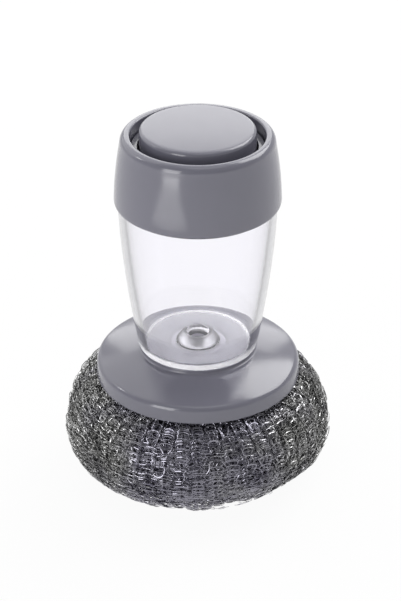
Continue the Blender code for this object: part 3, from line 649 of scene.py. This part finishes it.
def makeRetainer(shape):
    low, top = levels("scourer_retainer")
    disc = low + shape.thickness
    grooveTop = top - shape.grooveDrop
    grooveLow = grooveTop - shape.grooveLength
    neck = shape.stem - shape.grooveDepth
    corners = [(shape.stem, top, shape.edge), (shape.stem, grooveTop), (neck, grooveTop), (neck, grooveLow),
               (shape.stem, grooveLow), (shape.stem, disc, shape.stemRound), (shape.radius, disc, shape.edge),
               (shape.radius, low, shape.edge), (shape.bore, low, small), (shape.bore, top, fine)]
    retainer = turnOnLathe("woolRetainer", corners)
    place = shape.radius + shape.scallop - shape.scallopDepth
    carve(retainer, ringOfPosts(shape.scallops, place, shape.scallop, shape.scallop, low - mm, disc + mm))
    windowLow = disc + shape.windowRise
    carveAcross(retainer, 3 * shape.stem, shape.windowWidth, windowLow, windowLow + shape.windowHeight)
    teeth = ringOfPosts(shape.teeth, shape.toothPlace, shape.toothRadius, shape.toothTip,
                        disc - shape.thickness / 2, disc + shape.toothHeight)
    return carve(retainer, teeth, "UNION")


# Pump: cup and barrel, end plate with air holes, umbrella valve, piston and its cup seal
pumpShape = millimetres(
    {"airHoles": 6}, flange=24.1, flangeThickness=1.8, cup=20.5, cupBore=19.1, cupFloor=1.5, barrel=11,
    barrelBore=9.5, rodBore=2.9, round=0.6, plate=1.5, plugWall=1.1, airHole=0.6, airHolePlace=3.3,
    valveStem=1.3, valveDisc=5, valveThickness=0.9, valveEdge=0.4, valveBulb=1.9, valveBulbHeight=0.8,
    rod=2.6, disc=8.3, discThickness=1.2, discNeck=4.2, discGap=1.8, sealLip=2.2, lipSkin=0.6,
)


def makeHousing(shape):
    end, top = levels("pump_housing")
    under = levels("piston_rod")[0] + 2 * shape.discThickness + shape.discGap + gap
    low, floor = top - shape.flangeThickness, under + shape.cupFloor
    corners = [(shape.flange, top, small), (shape.flange, low, small), (shape.cup, low, fine),
               (shape.cup, under, shape.round), (shape.barrel, under, plain), (shape.barrel, end, fine),
               (shape.barrelBore, end, fine), (shape.barrelBore, under, small), (shape.rodBore, under, fine),
               (shape.rodBore, floor, fine), (shape.cupBore, floor, shape.round),
               (shape.cupBore, top, shape.round)]
    return turnOnLathe("pumpHousing", corners, steps=largeSteps)


def makeEndPlate(shape):
    low, plugTop = levels("barrel_end_plate")
    top = low + shape.plate
    plug = shape.barrelBore - gap
    stem = shape.valveStem + gap
    inner = plug - shape.plugWall
    corners = [(shape.barrel, top, fine), (shape.barrel, low, small), (stem, low, crisp), (stem, top, crisp),
               (inner, top, fine), (inner, plugTop, fine), (plug, plugTop, fine), (plug, top)]
    hole = shape.airHole
    holes = ringOfPosts(shape.airHoles, shape.airHolePlace, hole, hole, low - mm, top + mm, 16)
    return carve(turnOnLathe("barrelEndPlate", corners), holes)


def makeAirValve(shape):
    low, top = levels("air_valve")
    disc = low + shape.valveThickness
    bulb = top - shape.valveBulbHeight
    corners = [(0, top), (shape.valveBulb, top, plain), (shape.valveBulb, bulb, crisp),
               (shape.valveStem, bulb), (shape.valveStem, disc, fine), (shape.valveDisc, disc, crisp),
               (shape.valveDisc, disc - shape.valveEdge, fine), (0, low)]
    return turnOnLathe("airValve", corners, closed=False)


def makePiston(shape):
    low, top = levels("piston_rod")
    first = low + shape.discThickness
    second = first + shape.discGap
    length = second + shape.discThickness
    corners = [(0, top), (shape.rod, top, plain), (shape.rod, length, soft), (shape.disc, length, fine),
               (shape.disc, second, crisp), (shape.discNeck, second), (shape.discNeck, first),
               (shape.disc, first, crisp), (shape.disc, low, small), (0, low)]
    return turnOnLathe("pistonRod", corners, closed=False)


def makePistonSeal(shape):
    top = levels("piston_seal")[1]
    web = top - shape.discGap + 2 * gap
    outer = shape.barrelBore - gap
    inner = outer - shape.lipSkin
    lip = top - shape.sealLip
    neck = shape.discNeck + gap
    corners = [(outer - fine, top, fine), (outer, lip, crisp), (inner, lip, crisp), (inner, web, small),
               (neck, web), (neck, top)]
    return turnOnLathe("pistonSeal", corners)


# Outlet: slit valve and the nozzle that holds it, pressed into the jar's spigot
outletShape = millimetres(
    sleeve=4.7, valveFlange=1.2, dome=3, domeDepth=2.4, skin=0.7, bowlRound=0.8, slitLength=4,
    slitWidth=0.3, nozzleFlange=7, nozzleThickness=1, nozzleBore=1.9,
)


def makeOutletValve(shape):
    top = levels("outlet_valve")[1]
    flange = top - shape.valveFlange
    apex = flange - shape.domeDepth
    inside = shape.dome - shape.skin
    corners = [(0, apex + shape.skin)]
    corners += ellipseArc((0, flange), (inside, shape.domeDepth - shape.skin), -math.pi / 2, 0, 10)[1:]
    corners += [(inside, top, fine), (shape.sleeve, top, fine), (shape.sleeve, flange, fine)]
    corners += ellipseArc((0, flange), (shape.dome, shape.domeDepth), 0, -math.pi / 2, 10)
    valve = turnOnLathe("outletValve", corners, closed=False)
    return carveAcross(valve, shape.slitLength, shape.slitWidth, apex - mm, flange - shape.skin / 2)


def makeNozzle(shape):
    low, top = levels("outlet_nozzle")
    seat = low + shape.nozzleThickness
    cup = top - shape.domeDepth - gap
    bowl = shape.dome + gap
    corners = [(shape.sleeve, top, fine), (shape.sleeve, seat), (shape.nozzleFlange, seat, fine),
               (shape.nozzleFlange, low, fine), (shape.nozzleBore, low, small), (shape.nozzleBore, cup, soft),
               (bowl, cup, shape.bowlRound), (bowl, top, crisp)]
    return turnOnLathe("outletNozzle", corners)


# Seals: flat rings under the cap and on the stem, round ring at the jar's foot, wire that ties the wool
sealShape = millimetres(stemBore=4.2, neckWire=1.1, tieWire=0.7)


def makeFlatRing(name, node, inner):
    (_, _, low), (outer, _, high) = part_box(node)
    corners = [(outer, high, small), (outer, low, small), (inner, low, small), (inner, high, small)]
    return turnOnLathe(name, corners, steps=largeSteps)


def makeRoundRing(name, node, wire):
    (_, _, low), (outer, _, high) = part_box(node)
    return turnOnLathe(name, ellipseArc((outer - wire, (low + high) / 2), (wire, wire), math.tau, 0, 20)[:-1])


# Return spring: one wire wound between the cup's floor and the button
springShape = millimetres({"turns": 6}, wire=0.5, coil=7.1, stroke=5)


def makeSpring(shape):
    low, high = levels("return_spring")
    wire = shape.wire
    place = (shape.coil, 0, low + wire)
    bpy.ops.mesh.primitive_circle_add(vertices=12, radius=wire, location=place, rotation=upright)
    spring = bpy.context.active_object
    spring.name = spring.data.name = "returnSpring"
    return sweepHelix(spring, (high - low - 2 * wire) / shape.turns, shape.turns, 36, 60)


woolRetainer = makeRetainer(retainerShape)
returnSpring = makeSpring(springShape)
pumpHousing = makeHousing(pumpShape)
barrelEndPlate = makeEndPlate(pumpShape)
airValve = makeAirValve(pumpShape)
pistonRod = makePiston(pumpShape)
pistonSeal = makePistonSeal(pumpShape)
outletValve = makeOutletValve(outletShape)
outletNozzle = makeNozzle(outletShape)
lidGasket = makeFlatRing("lidGasket", "lid_gasket", jarShape.neckBore)
stemSeal = makeFlatRing("stemSeal", "stem_seal", sealShape.stemBore)
neckSeal = makeRoundRing("neckSeal", "neck_seal", sealShape.neckWire)
woolTie = makeRoundRing("woolTie", "scourer_tie", sealShape.tieWire)
print("pump and seals turned")


# Steel ball: courses of knitted flat wire, three strands outside and finer layers under them
woolShape = Shape(
    recess=14.9 * mm, sole=24.4 * mm, waist=43.5 * mm, waistHeight=17.1 * mm, lowerPower=1.82, lift=1.2 * mm,
    crown=22.4 * mm, height=36.2 * mm, upperPower=2.6, crownEnd=31.5 * mm, plug=(30.4 * mm, 38.6 * mm),
    lead=((0, 5 * mm), (0.2 * mm, 1.6 * mm), (1.4 * mm, 0.7 * mm)),  # past the recess, height
    wales=48, courses=40, pointsPerLoop=14, under=((1.3 * mm, 52, 40), (2.6 * mm, 50, 38)), underLift=2.7,
    reach=1.40, curl=0.30, slack=0.1, wander=0.1, sway=0.035, drift=0.002, twist=0.5, slowTwist=0.25,
    strandGap=0.42 * mm, strandDrop=0.1 * mm, strandCurl=0.1, wireWidth=0.20 * mm, wireThickness=0.10 * mm,
    gathers=12, gatherDepth=0.5 * mm, swell=(14, 0.25 * mm), sag=1.0 * mm, sagTurn=math.radians(205),
    spread=1.2 * mm, bellyPower=0.7, faceTurn=math.radians(205), faceShare=1.5, faceWaves=(10, 0.35),
    faceLeast=-0.8, faceDepth=0.35 * mm, tilt=0.5 * mm, tiltBelow=1.9 * mm, tiltRamp=(1.3, 0.3),
    loose=0.28 * mm, looseBelow=1.4, looseUnder=8 * mm, fluff=0.12 * mm,
    standMost=1.1 * mm, standBelow=1.6 * mm, rest=0.14 * mm, seed=11,
)


# Dense line round the ball's section, from the recess under it to the plug in the head
def woolSection(shape):
    turn = np.linspace(0, np.pi / 2, 60)
    waist, level = shape.waist, shape.waistHeight
    lower, upper = 2 / shape.lowerPower, 2 / shape.upperPower
    belly = np.stack([shape.sole + (waist - shape.sole) * np.cos(turn) ** lower,
                      level * (1 - np.sin(turn) ** lower) + shape.lift], -1)[::-1]
    crown = np.stack([shape.crown + (waist - shape.crown) * np.cos(turn) ** upper,
                      level + (shape.height - level) * np.sin(turn) ** upper], -1)
    crown = crown[crown[:, 0] > shape.crownEnd]
    start = np.array([[shape.recess + out, height] for out, height in shape.lead])
    return np.concatenate([start, belly, crown[1:], [shape.plug]])


# Points, directions, outward normals and spacing at equal steps along the section
def evenly(line, count):
    gaps = np.linalg.norm(np.diff(line, axis=0), axis=1)
    along = np.concatenate([[0], np.cumsum(gaps)])
    wanted = np.linspace(0, along[-1], count)
    points = np.stack([np.interp(wanted, along, line[:, 0]), np.interp(wanted, along, line[:, 1])], -1)
    run = np.gradient(points, axis=0)
    run /= np.linalg.norm(run, axis=1)[:, None]
    return points, run, np.stack([run[:, 1], -run[:, 0]], -1), along[-1] / (count - 1)


# Slow random swell over the ball, which closes round the ring
def slowSwell(rng, rows, columns, waves, size, mostWaves=15, mostSlope=9):
    row = np.linspace(0, 1, rows)[:, None]
    column = np.linspace(0, math.tau, columns, endpoint=False)[None]
    swell = np.zeros((rows, columns))
    for _ in range(waves):
        around = rng.integers(1, mostWaves) * column
        swell += np.cos(around + rng.uniform(0, mostSlope) * row + rng.uniform(0, math.tau))
    return swell * size / math.sqrt(waves)


# A random value for each loop, blended along the wire
def perLoop(rng, rows, loops, per, size):
    values = rng.normal(0, size, (rows, loops))
    spot = np.arange(loops * per) / per
    left = np.floor(spot).astype(int) % loops
    blend = (1 - np.cos(np.pi * (spot % 1))) / 2
    return values[:, left] * (1 - blend) + values[:, (left + 1) % loops] * blend


# Radii and heights turned by their angles about the Z axis
def aroundAxis(out, angle, up):
    return np.stack([out * np.cos(angle), out * np.sin(angle), up * np.ones_like(angle)], -1)


# Sweeps a flat three-sided wire along each row of points
def ribbonMesh(name, centre, outward, twist, width, thickness, closed=True):
    run = np.roll(centre, -1, 1) - np.roll(centre, 1, 1)
    if not closed:
        run[:, 0], run[:, -1] = centre[:, 1] - centre[:, 0], centre[:, -1] - centre[:, -2]
    run /= np.linalg.norm(run, axis=2)[..., None]
    across = np.cross(run, outward)
    across /= np.linalg.norm(across, axis=2)[..., None]
    up = np.cross(across, run)
    turnCos, turnSin = np.cos(twist)[..., None], np.sin(twist)[..., None]
    aside = (across * turnCos + up * turnSin) * width / 2
    above = (up * turnCos - across * turnSin) * thickness / 2
    corners = np.stack([centre + aside + above, centre - aside + above, centre - above], 2)
    index = np.arange(corners.size // 3).reshape(corners.shape[:3])
    after = np.roll(index, -1, 1)
    faces, ends = [], []
    if not closed:
        ends = index[:, 0, ::-1].tolist() + index[:, -1].tolist()
        index, after = index[:, :-1], after[:, :-1]
    for side, other in ((0, 1), (1, 2), (2, 0)):
        sides = np.stack([index[..., side], index[..., other], after[..., other], after[..., side]], -1)
        faces += sides.reshape(-1, 4).tolist()
    mesh = bpy.data.meshes.new(name)
    mesh.from_pydata(corners.reshape(-1, 3).tolist(), [], faces + ends)
    return addObject(name, mesh)


# Wire paths, outward directions and twists of one layer, where each course loops between its neighbours
def knitPaths(shape, rng, inset, loops, rows, strands):
    points, run, normal, spacing = evenly(woolSection(shape), rows)
    per = shape.pointsPerLoop
    turn = (np.arange(loops * per) / per * math.tau)[None]
    place = turn / loops

    def uneven(size):
        return perLoop(rng, rows, loops, per, size)

    def swelling(waves, size):
        return slowSwell(rng, rows, loops * per, waves, size)

    slack = 1 + uneven(shape.slack)
    sway = uneven(shape.sway) * math.tau / loops + np.cumsum(rng.normal(0, shape.drift, rows))[:, None]
    face = shape.faceShare * np.cos(place - shape.faceTurn) + swelling(*shape.faceWaves)
    face = np.clip(face, shape.faceLeast, 1)
    swell = swelling(*shape.swell)
    swell = swell - shape.gatherDepth * (1 - np.cos(shape.gathers * place)) / 2
    under = np.clip(1 - points[:, 1:] / shape.waistHeight, 0, 1)
    belly = shape.sag * np.clip(np.cos(place - shape.sagTurn), 0, 1) + shape.spread * np.cos(2 * place)
    swell = swell + belly * np.sin(np.pi * under) ** shape.bellyPower
    gain, start = shape.tiltRamp
    tilt = shape.tilt - shape.tiltBelow * np.clip(gain * under - start, 0, 1)
    low = np.clip(1 - points[:, 1:] / shape.looseUnder, 0, 1)
    loose = uneven(shape.loose) * (1 + shape.looseBelow * low)
    most = shape.standMost + shape.standBelow * under
    for index, shift in enumerate(strands):
        wander = uneven(shape.wander)
        curl = shape.curl * math.tau / loops * np.sin(2 * turn) * slack * (1 - shape.strandCurl * index)
        angle = place + sway + curl
        rise = shape.reach * spacing * np.cos(turn) * (slack + wander / 2) + shift + wander * spacing / 2
        stand = tilt * np.cos(turn) + shape.faceDepth * face * np.cos(2 * turn) + loose + swell
        stand = np.minimum(stand + uneven(shape.fluff), most) - inset - shape.strandDrop * index
        radius = points[:, :1] + run[:, :1] * rise + normal[:, :1] * stand
        height = points[:, 1:] + run[:, 1:] * rise + normal[:, 1:] * stand
        height = np.maximum(height, shape.rest + shape.underLift * inset)
        twist = uneven(shape.twist) + swelling(3 * loops, shape.slowTwist)
        yield aroundAxis(radius, angle, height), aroundAxis(normal[:, :1], angle, normal[:, 1:]), twist


# Slack loops that slipped out of the knit and lie across it
strayShape = Shape(
    count=300, rows=400, between=(70, 372), points=15, bend=(0.9, 1.8), size=(1.3, 2.8), oval=(0.6, 1.3),
    stand=(0.1, 0.6), arch=1.4, lift=0.25 * mm, twist=0.5, narrow=0.9,
)


def strayPaths(shape, section, rest, rng):
    points, run, normal, _ = evenly(section, shape.rows)
    pick = rng.integers(*shape.between, shape.count)

    def between(least, most):
        return rng.uniform(least, most, (shape.count, 1))

    sweep = between(*shape.bend) * np.pi * (np.linspace(0, 1, shape.points)[None] - 0.5)
    size = between(*shape.size) * mm
    tilt = between(0, math.tau)
    flatX, flatY = size * np.sin(sweep), size * np.cos(sweep) * between(*shape.oval)
    around = flatX * np.cos(tilt) - flatY * np.sin(tilt)
    along = flatX * np.sin(tilt) + flatY * np.cos(tilt)
    stand = between(*shape.stand) * mm * np.cos(sweep / shape.arch) + shape.lift
    radius = points[pick, :1] + run[pick, :1] * along + normal[pick, :1] * stand
    height = np.maximum(points[pick, 1:] + run[pick, 1:] * along + normal[pick, 1:] * stand, rest)
    angle = between(0, math.tau) + around / points[pick, :1]
    twist = rng.normal(0, shape.twist, (shape.count, 1)) * np.ones_like(angle)
    return aroundAxis(radius, angle, height), aroundAxis(normal[pick, :1], angle, normal[pick, 1:]), twist


# Dark plug under the knit, open where the retainer sits; its near-black colour is painted shade for the depth
# of the knit
coreShape = millimetres({"rows": 40, "steps": 96}, inset=4.4, low=6.6, margin=2.6, footOut=2.5, foot=9,
                        bore=9.9, boreLow=12)


def makeCore(shape, section, recess, top):
    line, _, normal, _ = evenly(section, shape.rows)
    shell = line - normal * shape.inset
    corners = [(r, max(z, shape.low)) for r, z in shell[::-1] if r > recess + shape.margin]
    corners += [(recess + shape.footOut, shape.foot), (shape.bore, shape.boreLow), (shape.bore, top)]
    return turnOnLathe("woolCore", corners, steps=shape.steps)


def makeWool(shape, stray):
    rng = np.random.default_rng(shape.seed)
    width, thickness, apart = shape.wireWidth, shape.wireThickness, shape.strandGap
    outer, under = [], []
    for index, path in enumerate(knitPaths(shape, rng, 0, shape.wales, shape.courses, (apart, 0, -apart))):
        outer.append(ribbonMesh(f"knitStrand{index + 1}", *path, width, thickness))
    for index, layer in enumerate(shape.under):
        for path in knitPaths(shape, rng, *layer, (0,)):
            under.append(ribbonMesh(f"knitUnder{index + 1}", *path, width, thickness))
    path = strayPaths(stray, woolSection(shape), shape.rest, rng)
    outer.append(ribbonMesh("strayLoops", *path, width * stray.narrow, thickness, closed=False))
    return outer, under


woolStrands, woolUnder = makeWool(woolShape, strayShape)
woolCore = makeCore(coreShape, woolSection(woolShape), woolShape.recess, woolShape.plug[1])
print("wool knitted")


# Who carries what, and in which finish
def dress(piece, body, slot, finish, *nodes):
    piece.data.materials.clear()
    piece.data.materials.append(finish)
    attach(piece, body)
    if nodes:
        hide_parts(*nodes)


dress(capCollar, "collar", "grey_plastic", greyPlastic, "cap_collar")
dress(guideRing, "collar", "grey_plastic", greyPlastic, "guide_ring")
dress(pressButton, "button", "grey_plastic", buttonPlastic, "press_button")
dress(pistonRod, "button", "white_plastic", whitePlastic, "piston_rod")
dress(pistonSeal, "button", "silicone", sealSilicone, "piston_seal")
dress(pumpHousing, "pump", "white_plastic", whitePlastic, "pump_housing")
dress(barrelEndPlate, "pump", "white_plastic", whitePlastic, "barrel_end_plate")
dress(airValve, "pump", "silicone", valveSilicone, "air_valve")
dress(lidGasket, "lid_ring", "silicone", sealSilicone, "lid_gasket")
dress(soapJar, "jar", "clear_plastic", clearPlastic, "reservoir_jar")
dress(outletValve, "jar", "silicone", valveSilicone, "outlet_valve")
dress(outletNozzle, "jar", "white_plastic", whitePlastic, "outlet_nozzle")
dress(neckSeal, "seal", "silicone", sealSilicone, "neck_seal")
dress(flangedHead, "head", "grey_plastic", greyPlastic, "base_flange")
dress(woolRetainer, "scourer", "grey_plastic", greyPlastic, "scourer_retainer")
dress(stemSeal, "scourer", "rubber", blackRubber, "stem_seal")
dress(woolTie, "scourer", "steel_wire", tieSteel, "scourer_tie")
dress(woolCore, "scourer", "steel_wool", woolShade, "steel_scourer")
for wire in woolStrands:
    dress(wire, "scourer", "steel_wool", woolSteel)
for wire in woolUnder:
    dress(wire, "scourer", "steel_wool", deepShadedSteel)
dress(returnSpring, "pump", "spring_steel", springSteel, "return_spring")
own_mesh(returnSpring)
print("pieces dressed")


# Floor, studio light and camera
studio = Shape(
    floorSize=6, floorTone=0.80, floorGlow=0.94, skyFront=0.30, skyBack=0.70, skyTurn=0.8,
    lamps={  # place, size, the level it shows in a mirror, and its aim if not at the object
        "backPanel": ((0.0, 1.127, 0.48), (0.83, 0.51), 2.1),
        "leftLowPanel": ((-0.878, 0.707, 0.48), (1.03, 0.51), 0.70),
        "leftHighPanel": ((-0.641, 0.483, 0.962), (1.25, 0.757), 0.80),
        "rightPanel": ((0.657, 0.514, 0.933), (1.02, 0.69), 4.4),
        "frontWindow": ((-0.416, -0.563, 0.22), (0.30, 0.45), 4.0, (0, 0, 0.12)),
        "frontPool": ((-0.25, -0.338, 0.02), (0.20, 0.40), 1.5, (-0.247, -0.334, 1)),
        "leftSpark": ((-1.02, 0.18, 0.67), (0.16, 0.16), 7.5),
        "topPanel": ((0.1, -0.15, 1.1), (0.6, 0.6), 0.7),
    },
    camera=Shape(away=534.8 * mm, up=377.0 * mm, pitch=30.40, yaw=0.091,
                 lens=112.97, sensor=36, near=0.05, far=20),
)


# 1 for camera and glass rays, and 1 for these and mirror rays
def seenByEye(tree):
    path = addNode(tree, "LightPath").outputs
    eye = calculate(tree, "MAXIMUM", path["Is Camera Ray"], path["Is Transmission Ray"])
    return eye, calculate(tree, "MAXIMUM", eye, path["Is Glossy Ray"])


# White paper to the eye and to mirrors, grey paper to light, and nothing from below
def makeFloor(look):
    bpy.ops.mesh.primitive_plane_add(size=look.floorSize)
    floor = bpy.context.active_object
    floor.name = "studioFloor"
    finish = bpy.data.materials.new("floorPaper")
    finish.use_nodes = True
    tree = finish.node_tree
    tree.nodes.clear()
    paper = addNode(tree, "BsdfDiffuse", {"Color": (look.floorTone,) * 3 + (1,)})
    glow = addNode(tree, "Emission")
    share = calculate(tree, "MULTIPLY", seenByEye(tree)[1], look.floorGlow)
    mixed = addNode(tree, "MixShader", {0: share, 1: paper.outputs[0], 2: glow.outputs[0]})
    below = addNode(tree, "NewGeometry").outputs["Backfacing"]
    unseen = addNode(tree, "BsdfTransparent")
    sided = addNode(tree, "MixShader", {0: below, 1: mixed.outputs[0], 2: unseen.outputs[0]})
    made = addNode(tree, "OutputMaterial")
    tree.links.new(sided.outputs[0], made.inputs["Surface"])
    floor.data.materials.append(finish)


# White to the eye, and a studio that is brighter behind the object than in front of it
def makeSky(look):
    world = bpy.data.worlds.new("studioRoom")
    bpy.context.scene.world = world
    world.use_nodes = True
    tree = world.node_tree
    tree.nodes.clear()
    towards = addNode(tree, "TexCoord").outputs["Generated"]
    depth = addNode(tree, "SeparateXYZ", {0: towards}).outputs["Y"]
    level = remap(tree, depth, -look.skyTurn, look.skyTurn, look.skyFront, look.skyBack)
    strength = mixValues(tree, seenByEye(tree)[0], level, 1.0)
    back = addNode(tree, "Background", {"Color": (1, 1, 1, 1), "Strength": strength})
    made = addNode(tree, "OutputWorld")
    tree.links.new(back.outputs[0], made.inputs["Surface"])


# A rectangular panel of light
def makeLamp(name, place, size, level, aim=(0, 0, 0.07)):
    lamp = bpy.data.lights.new(name, "AREA")
    lamp.shape = "RECTANGLE"
    lamp.size, lamp.size_y = size
    lamp.energy = level * math.pi * size[0] * size[1]
    holder = addObject(name, lamp)
    holder.location = place
    holder.rotation_euler = (Vector(aim) - Vector(place)).to_track_quat("-Z", "Y").to_euler()
    holder.visible_camera = False


def makeCamera(look):
    lens = bpy.data.cameras.new("studioCamera")
    lens.sensor_width = look.sensor
    lens.lens = look.lens
    lens.clip_start, lens.clip_end = look.near, look.far
    camera = addObject("studioCamera", lens)
    camera.location = (0, -look.away, look.up)
    camera.rotation_euler = (math.radians(90 - look.pitch), 0, math.radians(-look.yaw))
    bpy.context.scene.camera = camera


makeFloor(studio)
makeSky(studio)
for lampName, lampValues in studio.lamps.items():
    makeLamp(lampName, *lampValues)
makeCamera(studio.camera)
bpy.context.scene.view_settings.view_transform = "Standard"

print("scene ready")
